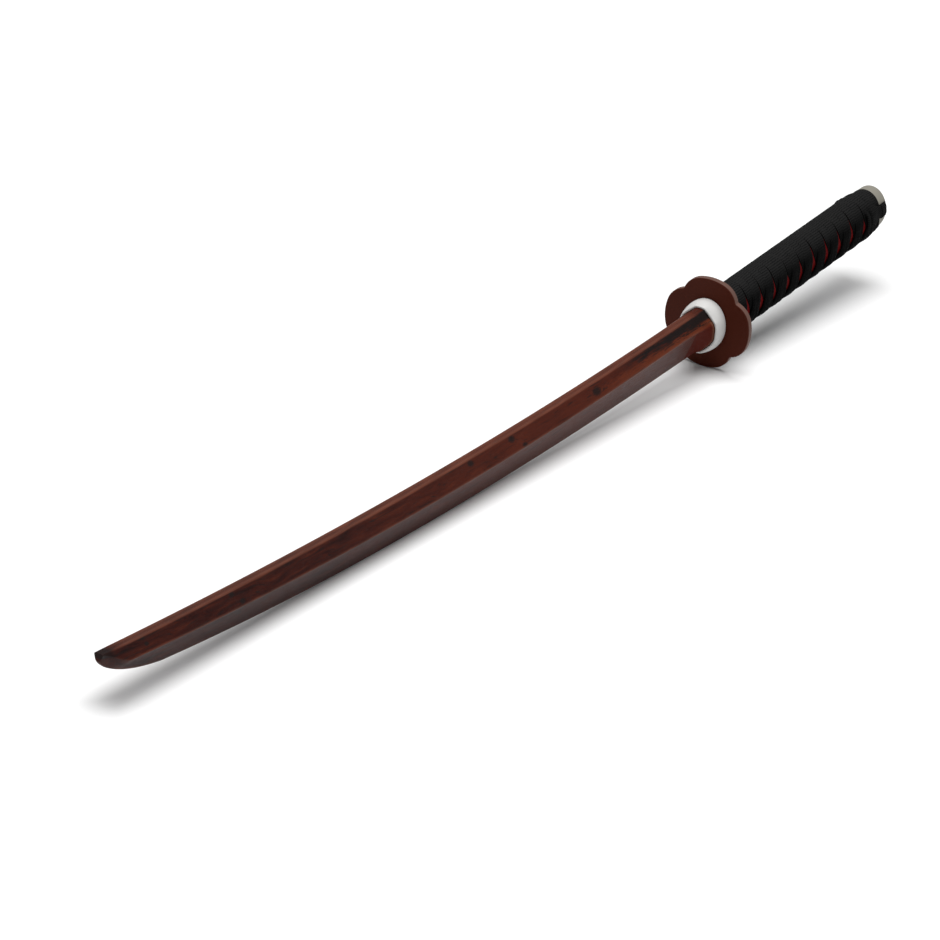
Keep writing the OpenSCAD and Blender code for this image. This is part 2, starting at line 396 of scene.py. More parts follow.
def hardwood():
    """Dark red hardwood, oiled: long streaks, pores, heartwood near the guard and a few knots."""
    m = Shader("hardwood", Roughness=0.4, Specular_IOR_Level=0.08)
    s, y, z = m.mark("grain")
    wear, _, _ = m.mark("wear")
    drift = m.stretched((s, y, z), (0.008, 0.05, 0.05), 2.0)
    across = z + (drift - 0.5) * 14
    broad = m.stretched((s, y, across), (0.010, 0.10, 0.16), 4.0, 0.6)
    fine = m.stretched((s, y, across), (0.030, 0.9, 1.1), 5.0, 0.65)
    pores = m.stretched((s, y, z), (0.16, 2.6, 2.6), 3.0, 0.6)
    base = m.node("ShaderNodeValToRGB", {"stops": WOOD_STREAKS}, broad * 0.62 + fine * 0.38)
    # Redder and brighter towards the guard, duller towards the point
    near = s.rise(*RED_FADES)
    base = m.blend(near * (0.25 + fine * 0.5), base, RED_WOOD)
    # Brighter brown low on the upper facet, from the guard out
    warm = s.rise(*WARM_FADES) * (z - (fine - 0.5) * 4).rise(13.5, 10.5) * z.rise(6.0, 9.0)
    base = m.blend(warm * (0.35 + fine * 0.9), base, WARM_WOOD)
    # Black heartwood: a streak along the upper facet near the guard, torn along the grain
    torn = m.stretched((s, y, z), (0.022, 0.15, 0.45), 4.0, 0.65)
    ragged = (torn - 0.5) * 5 + (fine - 0.5) * 5
    width = (s - HEART_START).max(0.0) * -HEART_NARROWS + HEART_HALF_W
    middle = z - HEART_Z - (s - HEART_START).max(0.0) * HEART_SLOPE
    heart = ((middle + ragged * 0.4).abs() - width - ragged).rise(0.9, -0.7)
    heart = heart * y.rise(1.8, 3.2) * s.rise(*HEART_FADES)
    streak = m.stretched((s, y, across), (0.007, 0.3, 0.42), 3.0, 0.6).rise(0.60, 0.74) * 0.75
    dark = heart.max(streak)
    for station, up, size in KNOTS:
        ds = (s - station) * (KNOT_STRETCH / size)
        dz = (z - up) * (1.0 / size)
        spot = (ds * ds + dz * dz + (fine - 0.5) * 0.9).rise(1.0, 0.15) * y.rise(0.0, 2.0)
        dark = dark.max(spot * 0.9)
    base = m.blend(dark, base, HEARTWOOD)
    base = m.blend(pores.rise(0.62, 0.74) * 0.35, base, PORE)
    base = m.blend(wear * (0.25 + broad * 0.5), base, WORN_WOOD)
    # The planed hollow by the ring is redder and duller; the wood at the ring's lip is bare
    planed = s.rise(*PLANED_FADES) * z.rise(9.0, 7.0)
    base = m.blend(planed * 0.85, base, PLANED_WOOD)
    bare = (s + fine * 1.2).rise(*BARE_FADES) * z.rise(11.0, 8.0)
    base = m.blend(bare * (0.3 + broad * 0.6), base, BARE_WOOD)
    # Dark end grain at the very point
    base = m.blend(s.rise(*END_GRAIN_STARTS) * z.rise(8.6, 9.6) * 0.85, base, END_GRAIN)
    rough = 0.36 + (fine - 0.5) * 0.25 + pores * 0.08 + planed * 0.3
    height = pores.rise(0.70, 0.56) * 0.6 + fine * 0.5
    return m.feed(Base_Color=base, Roughness=rough, Normal=m.bump(height, 0.00012, 0.5))


GUARD_DARK, GUARD_LIGHT = (0.047, 0.0088, 0.0040), (0.064, 0.0122, 0.0055)
# Pale colour of the painted highlight on the guard's rim
GUARD_RIM_HIGHLIGHT = (0.190, 0.125, 0.105)
RING_WHITE, RING_HANDLED = (0.56, 0.556, 0.547), (0.51, 0.50, 0.485)
CAP_DARK, CAP_LIGHT, CAP_CLOUD = (0.215, 0.203, 0.172), (0.262, 0.248, 0.211), (0.20, 0.19, 0.16)
COTTON_LOW, COTTON_HIGH = (0.0006, 0.0006, 0.0007), (0.0240, 0.0239, 0.0237)
COTTON_WORN, COTTON_FLUFF = (0.017, 0.0168, 0.0166), (0.032, 0.032, 0.032)
# Near-black colour of the painted shade on the cord's sides
COTTON_PAINTED_SHADE = (0.0010, 0.0010, 0.0010)
CLOTH_LOW, CLOTH_HIGH = (0.050, 0.0010, 0.0010), (0.155, 0.0025, 0.003)
# The last colour here is the cloth's painted highlight
CLOTH_CLOUD, CLOTH_HIGHLIGHT = (0.06, 0.0015, 0.0015), (0.42, 0.28, 0.25)
FLOOR_WHITE = (0.86, 0.86, 0.86, 1)


def guard_plastic():
    """Moulded dark red-brown plastic, satin, with a pale painted highlight on the rim."""
    m = Shader("guard_plastic", Roughness=0.42, Specular_IOR_Level=0.06)
    rim, _, _ = m.mark("rim_rub")
    place = m.place()
    broad = m.noise(place, 60.0, 3.0)
    grain = m.noise(place, 1400.0, 2.0)
    base = m.blend(broad.rise(0.35, 0.7), GUARD_DARK, GUARD_LIGHT)
    # Painted highlight: the rim's rounded side made paler
    base = m.blend(rim.rise(0.55, 1.0) * (0.2 + broad * 0.6), base, GUARD_RIM_HIGHLIGHT)
    rough = 0.36 + broad * 0.12 + grain * 0.08
    normal = m.bump(grain * 0.6 + broad * 4, 0.00008, 0.6)
    return m.feed(Base_Color=base, Roughness=rough, Normal=normal)


def ring_rubber():
    """White moulded rubber, satin, with faint marks of handling."""
    m = Shader("ring_rubber", Roughness=0.45, Specular_IOR_Level=0.2)
    place = m.place()
    cloud = m.noise(place, 90.0, 3.0)
    grain = m.noise(place, 1800.0, 2.0)
    base = m.blend(cloud.rise(0.4, 0.75), RING_WHITE, RING_HANDLED)
    rough = 0.40 + cloud * 0.15
    return m.feed(Base_Color=base, Roughness=rough, Normal=m.bump(grain, 0.00006, 0.4))


# Sizes in millimetres of the cord's picks and ribs, and of the cloth's threads
CORD_PICK, CORD_RIB = 1.6, 1.425
CLOTH_THREAD = 0.9


def woven(along, across, pick, rib):
    """Height of a plain weave: ribs along the cord, crossed by picks that go over every other rib."""
    u = along * (math.pi / pick)
    v = across * (math.pi / rib)
    over = u.sin() * v.sin()
    return over.abs() * 0.85 + v.sin().abs() * 0.15


def black_cotton():
    """Flat black cotton braid: fine ribs, picks across them, pale fluff, and painted shade at the handle's
    sides.
    """
    m = Shader("black_cotton", Roughness=0.85, Specular_IOR_Level=0.04)
    along, across, run = m.mark("cord_at")
    lit_share, _, _ = m.mark("cord_faded")
    wander = m.noise(m.join(along * 0.12, across * 0.3, run), 1.0, 2.0)
    height = woven(along + wander * 1.2, across, CORD_PICK, CORD_RIB)
    cloud = m.noise(m.join(along * 0.06, across * 0.12, run), 1.0, 3.0)
    fluff = m.noise(m.join(along * 1.8, across * 3.2, run), 1.0, 2.0)
    base = m.blend(height.rise(0.1, 0.8), COTTON_LOW, COTTON_HIGH)
    base = m.blend(cloud.rise(0.45, 0.8) * 0.5, base, COTTON_WORN)
    base = m.blend(fluff.rise(0.62, 0.8) * 0.25, base, COTTON_FLUFF)
    # Painted shade: the cord is darkened towards near-black where it turns down the handle's sides
    base = m.blend(lit_share, COTTON_PAINTED_SHADE, base)
    normal = m.bump(height + fluff * 0.25, 0.00035, 0.9)
    return m.feed(Base_Color=base, Roughness=0.78 + fluff * 0.2, Normal=normal)


def red_cloth():
    """Red panel cloth with a small square weave, with a pale painted highlight in a few spots."""
    m = Shader("red_cloth", Roughness=0.7, Specular_IOR_Level=0.04)
    along, across, highlight_share = m.mark("panel_at")
    height = woven(along, across, CLOTH_THREAD, CLOTH_THREAD)
    cloud = m.noise(m.join(along * 0.3, across * 0.3, 0.0), 1.0, 2.0)
    base = m.blend(height.rise(0.1, 0.8), CLOTH_LOW, CLOTH_HIGH)
    base = m.blend(cloud.rise(0.5, 0.8) * 0.4, base, CLOTH_CLOUD)
    # Painted highlight: a pale pink spot in some openings
    base = m.blend(highlight_share, base, CLOTH_HIGHLIGHT)
    rough = 0.6 + cloud * 0.3
    return m.feed(Base_Color=base, Roughness=rough, Normal=m.bump(height, 0.0002, 0.8))


def cap_plastic():
    """Warm grey moulded cap, matte, with a fine speckle."""
    m = Shader("cap_plastic", Roughness=0.55, Specular_IOR_Level=0.15)
    place = m.place()
    speckle = m.noise(place, 900.0, 3.0)
    cloud = m.noise(place, 120.0, 3.0)
    base = m.blend(speckle.rise(0.4, 0.7), CAP_DARK, CAP_LIGHT)
    base = m.blend(cloud.rise(0.5, 0.8) * 0.4, base, CAP_CLOUD)
    rough = 0.5 + cloud * 0.2
    return m.feed(Base_Color=base, Roughness=rough, Normal=m.bump(speckle, 0.0001, 0.5))


def floor_white():
    m = Shader("floor_white", Roughness=0.9, Specular_IOR_Level=0.1, Base_Color=FLOOR_WHITE)
    return m.material


# ---------------------------------------------------------------- mesh helpers
def grid_faces(rows, columns, wrap_rows=False):
    """Quads between the rows of a grid of points, each row a closed loop."""
    faces = []
    for j in range(rows if wrap_rows else rows - 1):
        k = (j + 1) % rows
        for i in range(columns):
            n = (i + 1) % columns
            faces.append((j * columns + i, j * columns + n, k * columns + n, k * columns + i))
    return faces


def tube_faces(rows, columns, start=0):
    """Faces of a closed tube with its two ends, its points starting at an index."""
    faces = [tuple(start + i for i in face) for face in grid_faces(rows, columns)]
    faces.append(tuple(start + i for i in range(columns)))
    faces.append(tuple(start + (rows - 1) * columns + i for i in range(columns)))
    return faces


def angles_round(count):
    return np.linspace(0, 2 * math.pi, count, endpoint=False)


def directions(angle):
    return np.stack([np.cos(angle), np.sin(angle)], -1)


def oval(angle, w, h, power):
    """An oval's outline, with a point at each angle."""
    return oval_reach(angle, w, h, power)[:, None] * directions(angle)


def seat_hole(angle):
    """The hole of the guard and the ring, clear of the seat all round."""
    return oval(angle, SEAT_W + 2 * SIDE_GAP, SEAT_H + 2 * TALL_GAP, SEAT_POWER)


def stack_loops(loops):
    """Points of closed outlines, each given with its station."""
    return np.array([np.column_stack([np.full(len(outline), s), outline]) for s, outline in loops])


def there_and_back(outer, inner):
    """Closed loops round a thin sheet: out along its outside and back along its inside."""
    return np.concatenate([outer, inner[:, ::-1]], axis=1)


def make_piece(name, points, faces, material, marks, weighted=False):
    """A mesh piece from sword-frame points, with vector marks on its points for its material."""
    mesh = bpy.data.meshes.new(name)
    mesh.from_pydata(lay(np.asarray(points).reshape(-1, 3)).tolist(), [], faces)
    for mark, values in marks.items():
        attribute = mesh.attributes.new(mark, "FLOAT_VECTOR", "POINT")
        attribute.data.foreach_set("vector", np.asarray(values, np.float32).ravel())
    built = bmesh.new()
    built.from_mesh(mesh)
    bmesh.ops.recalc_face_normals(built, faces=built.faces)
    built.to_mesh(mesh)
    built.free()
    mesh.shade_smooth()
    mesh.materials.append(material)
    piece = bpy.data.objects.new(name, mesh)
    bpy.context.scene.collection.objects.link(piece)
    if weighted:
        even = piece.modifiers.new("even_facets", "WEIGHTED_NORMAL")
        even.weight = 60
    return piece


# ---------------------------------------------------------------- the wood
# How far the corners of the blade's section are cut back, and the points round each
SPINE_CORNER, RIDGE_CORNER, EDGE_CORNER = 0.55, 0.45, 0.35
SPINE_POINTS, RIDGE_POINTS, EDGE_POINTS = 4, 4, 3
# The largest share of a side that a cut may take
MOST_CUT = 0.45
# The edge's flat is a little narrower than its corners and a little below them
EDGE_IN, EDGE_DOWN = 0.7, 0.75
# Shares of the way down the upper facet, close together beside its two corners
UPPER_SPREAD = (0.06, 0.28, 0.5, 0.72, 0.94)
LOWER_POINTS = 20
# How worn each point of half a section is: most at the eased corners of the spine and the ridge
HALF_WEAR = np.array(
    [0.45] + [1] * SPINE_POINTS + [0] * len(UPPER_SPREAD) + [0.6] * RIDGE_POINTS
    + [0] * LOWER_POINTS + [0.4] * EDGE_POINTS + [0.2] * 2
)
# Stations between which the wear comes in past the ring and fades at the point, and how much is lost
WEAR_STARTS, WEAR_FADES, WEAR_LOST = (16, 40), (725, 745), 0.7
# Size of the end face's last loop, as a share of the section
END_EASED = 0.93

# Where the seat turns into the blade's facets: above the ridge, and below it
UPPER_SCOOP = (14.0, 52.0)
LOWER_SCOOP = (15.0, 35.0)
SCOOP_SHORTEST = 3
# Heights just below the ridge between which the lower scoop takes over from the upper one
SCOOP_EDGE = (RIDGE_H - 0.2, RIDGE_H - 2.0)
# Corners of half of the planed seat under the ring, from the spine down
SEAT_FLATS = np.array([
    (0, 15.9), (3.3, 15.5), (11.9, 7.4), (13.1, 3.8), (13.1, -4.0), (10.6, -8.8), (4.2, -15.8),
])
SEAT_CORNER = 0.3
# Number of the section's point, in the lower facet, that meets the seat's last corner but one
SEAT_BELLY_POINT = 24

# How much slimmer than the cap's cup the wood inside it is
IN_CAP_SIDE, IN_CAP_TALL = 0.4, 0.8
# Distances behind the guard between which the handle narrows before the cap and widens again
WAIST_IN, WAIST_OUT = (234, 247), (249, 251.5)


def rounded_corner(three, cut, count):
    """Points round the middle of three points, cut back by the given distance on both sides."""
    before, corner, after = map(np.asarray, three)
    back, ahead = before - corner, after - corner
    a = corner + back * min(MOST_CUT, cut / np.linalg.norm(back))
    b = corner + ahead * min(MOST_CUT, cut / np.linalg.norm(ahead))
    return [a * (1 - t) ** 2 + corner * 2 * t * (1 - t) + b * t * t for t in np.linspace(0, 1, count)]


def blade_half(s):
    """Half of the blade's section, from the spine down to the edge, with eased corners."""
    top, low = spine_z(s), edge_z(s)
    yr, zr = ridge(s)
    ye = min(EDGE_W / 2, yr)
    zc = min(low + EDGE_ROUND, zr - 0.1)
    flat = (ye * EDGE_IN, mix(zc, low, EDGE_DOWN))
    corners = [(0, top), (SPINE_W / 2, top), (yr, zr), (ye, zc), flat, (0, low)]
    spine = rounded_corner(corners[0:3], SPINE_CORNER, SPINE_POINTS)
    side = rounded_corner(corners[1:4], RIDGE_CORNER, RIDGE_POINTS)
    edge = rounded_corner(corners[2:5], EDGE_CORNER, EDGE_POINTS)
    upper = [mix(spine[-1], side[0], t) for t in UPPER_SPREAD]
    lower = [mix(side[-1], edge[0], t) for t in np.linspace(0, 1, LOWER_POINTS + 2)[1:-1]]
    return np.array([corners[0], *spine, *upper, *side, *lower, *edge, corners[4], corners[5]])


def seat_half():
    """Half of the planed seat under the ring, matched point by point to the blade's section."""
    lengths = np.linalg.norm(np.diff(SEAT_FLATS, axis=0), axis=1)
    along = np.concatenate([[0], np.cumsum(lengths)])
    spine, ridge_corner, belly = along[1], along[2], along[5]
    # Numbers of the section's points where the spacing changes, and their places down the outline
    top = SPINE_POINTS + 1
    ridge_from = top + len(UPPER_SPREAD)
    ridge_to = ridge_from + RIDGE_POINTS - 1
    count = len(HALF_WEAR)
    numbers = [0, top, ridge_from, ridge_to, SEAT_BELLY_POINT, count - 1]
    places = [
        0, spine, ridge_corner - SEAT_CORNER, ridge_corner + SEAT_CORNER, belly - SEAT_CORNER, along[-1]
    ]
    place = np.interp(np.arange(count), numbers, places)
    return np.stack([np.interp(place, along, SEAT_FLATS[:, i]) for i in (0, 1)], -1)


SEAT_HALF = seat_half()


def waist(x):
    """How much thinner the handle is just before the cap."""
    return WAIST * ease(-x, *WAIST_IN) * (1 - ease(-x, *WAIST_OUT))


def core_size(s):
    """Width and height of the round wood at station s, thinner inside the cap."""
    thinner = 2 * waist(s)
    if s < CAP_FRONT:
        w, h = CORE_W - 2 * CAP_WALL - IN_CAP_SIDE, CORE_H - 2 * CAP_WALL - IN_CAP_TALL
        return w - thinner, h - thinner
    return CORE_W - thinner, CORE_H - thinner


def wood_section(s):
    """The wood's whole section at station s, from the spine down one side and up the other."""
    half = blade_half(s)
    if s < BINDING_START:
        reach = oval_reach(np.arctan2(half[:, 1], half[:, 0]), *core_size(s), CORE_POWER)
        half = half * (reach / np.linalg.norm(half, axis=1))[:, None]
    else:
        # The hollow starts farthest out at the ridge and runs in to the ring at the belly
        rise = np.clip((half[:, 1] + EDGE_H) / (RIDGE_H + EDGE_H), 0, 1)
        start, end = LOWER_SCOOP
        low = np.clip((s - start) / (mix(start + SCOOP_SHORTEST, end, rise) - start), 0, 1)
        below = ease(half[:, 1], *SCOOP_EDGE)
        half = mix(SEAT_HALF, half, mix(ease(s, *UPPER_SCOOP), low, below)[:, None])
    other = half[-2:0:-1] * [-1, 1]
    return np.concatenate([half, other])


def wood_stations():
    """Stations of the wood's sections: close together where its shape changes."""
    hair = 0.05
    point = BLADE_LEN - POINT_LEN
    return np.concatenate([
        [CORE_END, CAP_FRONT + hair, CAP_FRONT + 2 * hair],
        np.arange(CAP_FRONT + 1, CAP_FRONT + 16, 1.0),
        np.arange(CAP_FRONT + 20, -10, 12),
        [BINDING_START - hair, BINDING_START, 0],
        np.arange(6, 40, 1.0),
        np.arange(40, point - 2, 6),
        BLADE_LEN - POINT_LEN * np.linspace(1, 0, 50)[:-1] ** 1.5,
        [BLADE_LEN - 0.15],
    ])


def build_wood(material):
    stations = wood_stations()
    sections = [wood_section(s) for s in stations]
    # A small easing round the end face
    end = wood_section(BLADE_LEN)
    middle = end.mean(0)
    sections.append(middle + (end - middle) * END_EASED)
    stations = np.append(stations, BLADE_LEN)
    sections = np.array(sections)
    rows, columns = sections.shape[:2]
    y, z = sections[..., 0], sections[..., 1]
    points = on_sword(stations[:, None], y, z)
    grain = np.stack([np.broadcast_to(stations[:, None], y.shape), y, z], -1)
    worn = ease(stations, *WEAR_STARTS) * (1 - WEAR_LOST * ease(stations, *WEAR_FADES))
    wear = np.zeros(points.shape)
    wear[..., 0] = worn[:, None] * np.concatenate([HALF_WEAR, HALF_WEAR[-2:0:-1]])
    faces = tube_faces(rows, columns)
    piece = make_piece("wooden_body", points, faces, material, {"grain": grain, "wear": wear}, weighted=True)
    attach(piece, "sword")
    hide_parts("hardwood_body")


# ---------------------------------------------------------------- guard and ring
def guard_outline(angle):
    """Reach of the guard's outline, with the notches between its lobes softened."""
    half = math.radians(LOBE_HALF_ANGLE)
    far = NOTCH_R * math.cos(math.pi / 4 - half)
    corner_at = (GUARD_R**2 - NOTCH_R**2) / (2 * (GUARD_R - far))
    corner_r = GUARD_R - corner_at
    off = np.mod(angle + math.pi / 4, math.pi / 2) - math.pi / 4

    def lobe(phi):
        past = np.maximum(np.abs(phi) - half, 0)
        inside = corner_r**2 - (corner_at * np.sin(past)) ** 2
        return corner_at * np.cos(past) + np.sqrt(np.maximum(inside, 0.01))

    this, other = lobe(off), lobe(math.pi / 2 - np.abs(off))
    near = np.maximum(NOTCH_SOFT - np.abs(this - other), 0) / NOTCH_SOFT
    return np.maximum(this, other) + near**2 * NOTCH_SOFT / 4


def inset(outline, distance):
    """A closed outline moved inwards along its normals."""
    along = np.roll(outline, -1, 0) - np.roll(outline, 1, 0)
    normal = np.stack([along[:, 1], -along[:, 0]], -1)
    return outline - distance * normal / np.linalg.norm(normal, axis=1)[:, None]


def build_guard(material):
    """The guard: two flat faces, a rounded rim and an eased hole. Each loop has its share of the painted rim
    highlight.
    """
    angle = angles_round(480)
    across = np.linspace(0, 1, GUARD_FACE_LOOPS)
    quarter = np.linspace(0, math.pi / 2, GUARD_RIM_LOOPS)
    rim, hole = guard_outline(angle)[:, None] * directions(angle), seat_hole(angle)
    inner, outer = hole + directions(angle) * GUARD_HOLE_R, inset(rim, GUARD_RIM_R)

    def face(s, order):
        return [(s, mix(inner, outer, t), 0.0) for t in order]

    def round_rim(s, into, order):
        return [
            (
                s + into * GUARD_RIM_R * (1 - math.cos(a)),
                inset(rim, GUARD_RIM_R * (1 - math.sin(a))),
                math.sin(a),
            )
            for a in order
        ]

    def hole_edge(s, into):
        eased = 0.3 * GUARD_HOLE_R
        return [
            (s + into * eased, hole + directions(angle) * eased, 0.2),
            (s + into * GUARD_HOLE_R, hole, 0.0),
        ]

    loops = hole_edge(0.0, -1)[::-1] + face(0.0, across)
    loops += round_rim(0.0, -1, quarter[1:]) + round_rim(-GUARD_T, 1, quarter[::-1])
    loops += face(-GUARD_T, across[::-1][1:]) + hole_edge(-GUARD_T, 1)
    points = stack_loops([(s, outline) for s, outline, _ in loops])
    rim_highlights = np.array([np.tile([highlight, 0, 0], (len(angle), 1)) for _, _, highlight in loops])
    faces = grid_faces(len(loops), len(angle), wrap_rows=True)
    piece = make_piece("guard_plate", points, faces, material, {"rim_rub": rim_highlights}, weighted=True)
    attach(piece, "guard")
    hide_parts("hand_guard")


def build_ring(material):
    """The ring: swollen outside, with an oval back and a front lip that follows the planed wood."""
    angle = angles_round(160)
    hole = seat_hole(angle)
    end = RING_START + RING_T
    wood = wood_section(end)
    wood_reach = np.linalg.norm(wood, axis=1)
    lip_reach = np.interp(angle, np.arctan2(wood[:, 1], wood[:, 0]), wood_reach, period=2 * math.pi)
    lip_hole = (lip_reach + LIP_GAP)[:, None] * directions(angle)
    lip_rim = (lip_reach + LIP_OUT)[:, None] * directions(angle)
    back_rim = oval(angle, RING_BACK_W, RING_BACK_H, SEAT_POWER)
    widest = oval(angle, RING_W, RING_H, CORE_POWER)

    def outside(s):
        off = s - RING_WIDEST_AT
        if off < 0:
            rim, reach, power = back_rim, PAST_FACE + RING_WIDEST_AT, BACK_POWER
        else:
            rim, reach, power = lip_rim, PAST_FACE + RING_T - RING_WIDEST_AT, FRONT_POWER
        return mix(rim, widest, max(0.0, 1 - (off / reach) ** 2) ** power)

    back, lip_at = outside(RING_START), end - LIP_R
    loops = [(RING_START + BACK_HOLE_EASE, hole)]
    loops += [(RING_START, mix(hole, back, t)) for t in (0.2, 0.5, 0.8)]
    loops += [(RING_START + BACK_RIM_EASE, mix(hole, back, 0.97))]
    loops += [(s, outside(s)) for s in np.linspace(RING_START + 0.4, lip_at, 26)]
    lip = outside(lip_at)
    for a in np.linspace(0, math.pi, 9)[1:-1]:
        loops.append((lip_at + LIP_R * math.sin(a), mix(lip, lip_hole, (1 - math.cos(a)) / 2)))
    loops += [(lip_at, lip_hole), (end - LIP_BORE, lip_hole)]
    loops += [(end - 3.0, mix(lip_hole, hole, 0.5)), (end - 4.0, hole)]
    loops += [(s, hole) for s in np.linspace(end - 6, RING_START + 0.6, 3)]
    faces = grid_faces(len(loops), len(angle), wrap_rows=True)
    piece = make_piece("ring_round", stack_loops(loops), faces, material, {})
    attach(piece, "ring")
    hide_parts("stopper_ring")


# ---------------------------------------------------------------- binding
# Loops to a turn of a run, points across its top, and the points of its underside
RUN_STEPS = 120
TOP_POINTS = 17
UNDERSIDE = [0.96, 0.5, 0, -0.5, -0.96]
# How much the run slants over the flanks, how unevenly it is laid, and the steps that smooth its path
SLANT = 0.75
UNEVEN = 0.5
SMOOTH_STEPS = 25
# How far from a crossing, in half turns, a run starts down and is down
LIFT_FADES = (0.09, 0.30)
# The cord spreads by this much over a flank, less away from it
FLANK, FLANK_FADES = 2.3, (0.08, 0.42)
# Share of its width that the cord loses where it passes over and under
NARROW_OVER, NARROW_UNDER = 0.08, 0.04
# Share of its thickness that it gains where it passes over, and in a bunch
THICKER_OVER, THICKER_BUNCH = 0.12, 0.9
BUNCH_FADES = (0.12, 0.48)
# How far the edges stray, how high the pleats are, and how far the edges drop at a side and a crossing
RAGGED, PLEAT = 0.28, 0.30
EDGE_DROP_SIDE, EDGE_DROP_CROSSING, FRONT_DROP = 0.30, 0.55, 0.25
# Length of cord in one turn, which paces the weave
TURN_LEN = math.pi * 31.5
# Painted shade on the cord: full colour where it faces up or down, darkened at the sides where less light
# falls
LIT_LEAST, LIT_FROM_TO = 0.08, (0.42, 1.02)
# Turns over which each end of a run is tucked in, and how low and thin it gets
TUCK_TURNS = 0.08
TUCK_LOW, TUCK_THIN = 0.4, 0.5

PANEL_BACK, PANEL_FRONT = CAP_FRONT + 8, BINDING_START - 0.4
PANEL_HALF_ANGLE = math.radians(52)
PANEL_PUFF = 0.45
PANEL_INSIDE = 0.02
# Painted highlight spot: its place and size along an opening, as shares of it, and down the side, in radians
SPOT_AT, SPOT_LEN = 0.42, 0.04
SPOT_DOWN, SPOT_ROUND = 0.08, 0.16
# Strongest share of the painted highlight
HIGHLIGHT_MOST = 0.4


def wobble(n, seed):
    """A fixed small number between -1 and 1 for each n."""
    return np.sin(n * 12.9898 + seed * 78.233) * 0.6 + np.sin(n * 4.1414 + seed * 3.7) * 0.4


def wall_points(x, angle, rise):
    """Points at a height over the handle's wood."""
    rise = rise - waist(x)
    reach = oval_reach(angle, CORE_W + 2 * rise, CORE_H + 2 * rise, CORE_POWER)
    return np.stack([x, reach * np.cos(angle), reach * np.sin(angle)], -1)


def run_middle(turns, hand):
    """Stations of a run's middle: it slants over the flanks, a little unevenly, and stays on the wood."""
    advance = turns + SLANT * np.sin(4 * math.pi * turns) / (4 * math.pi)
    middle = FIRST_CROSSING - CORD_PITCH * advance + UNEVEN * wobble(np.floor(turns * 2), hand)
    middle = np.clip(middle, CAP_FRONT + CORD_W / 2, BINDING_START - CORD_W / 2)
    padded = np.pad(middle, SMOOTH_STEPS // 2, mode="edge")
    return np.convolve(padded, np.ones(SMOOTH_STEPS) / SMOOTH_STEPS, mode="valid")


def build_run(name, node, hand, over_on, material):
    """One run of the cord: flat over the spine, bunched where it passes over the other run."""
    first, last = round(FIRST_TURN * RUN_STEPS), round(LAST_TURN * RUN_STEPS)
    turns = (np.arange(first, last + 1) / RUN_STEPS)[:, None]
    across = np.concatenate([np.linspace(-1, 1, TOP_POINTS), UNDERSIDE])
    is_top = np.arange(len(across)) < TOP_POINTS
    front = np.clip(across, 0, 1)
    turned = hand * 2 * math.pi * turns
    downward = -np.sin(turned)
    # Nearness to a crossing, and whether this run passes over there
    side = np.round(turns * 2)
    off = np.abs(turns * 2 - side)
    is_over = np.mod(side, 2) == over_on
    near = 1 - ease(off, *LIFT_FADES)
    over, under = near * is_over, near * ~is_over
    # Bunches hang on the lower side of each crossing
    bunch = (1 - ease(off, *BUNCH_FADES)) * is_over * np.clip(downward * 2.2 + 0.2, 0, 1)
    # The band: its middle, its half width, its spread over the flanks and its ragged edges
    half_w = CORD_W / 2 * (1 - NARROW_OVER * over - NARROW_UNDER * under)
    uneven = 1 + 0.35 * wobble(side, 3 + hand) + 0.6 * np.clip(2 * downward, 0, 1)
    flank = FLANK * (1 - ease(off, *FLANK_FADES)) * uneven
    ragged = RAGGED * np.sin(turns * 47 + hand) * near * np.abs(across) ** 3 * np.sign(across)
    x = run_middle(turns[:, 0], hand)[:, None] + across * half_w + flank * front**1.5 + ragged
    x = np.clip(x, CAP_FRONT, BINDING_START)
    # Its thickness: thinner where its ends are tucked in, thicker in the bunches, with pleats
    tuck = ease(turns, FIRST_TURN, FIRST_TURN + TUCK_TURNS)
    tuck = tuck * ease(-turns, -LAST_TURN, TUCK_TURNS - LAST_TURN)
    low = (PANEL_T + CORD_T * over) * mix(TUCK_LOW, 1, tuck)
    thick = CORD_T * (1 + THICKER_OVER * over + THICKER_BUNCH * bunch) * mix(TUCK_THIN, 1, tuck)
    edge_drop = mix(EDGE_DROP_SIDE, EDGE_DROP_CROSSING, near) * np.abs(across) ** 6
    edge_drop = edge_drop + FRONT_DROP * near * front**3
    pleat = PLEAT * (near * 0.5 + bunch) * np.sin(across * 7 + wobble(side, 5) * 3 + off * 6)
    rise = np.where(is_top, low + thick * (1 - edge_drop) + pleat * (1 - np.abs(across)), low)
    points = wall_points(x, np.broadcast_to(turned, x.shape), rise)
    length = np.cumsum(np.full(turns.shape, TURN_LEN / RUN_STEPS), axis=0)
    cord_at = np.stack(np.broadcast_arrays(length, across * CORD_W / 2, float(hand)), -1)
    # Painted shade mark: 1 where the cord faces up or down, low at the sides
    lit_share = mix(LIT_LEAST, 1.0, ease(np.abs(downward), *LIT_FROM_TO))
    lit_marks = np.stack(np.broadcast_arrays(lit_share, np.zeros(x.shape), 0.0), -1)
    faces = tube_faces(len(turns), len(across))
    piece = make_piece(name, points, faces, material, {"cord_at": cord_at, "cord_faded": lit_marks})
    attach(piece, "sword")
    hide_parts(node)


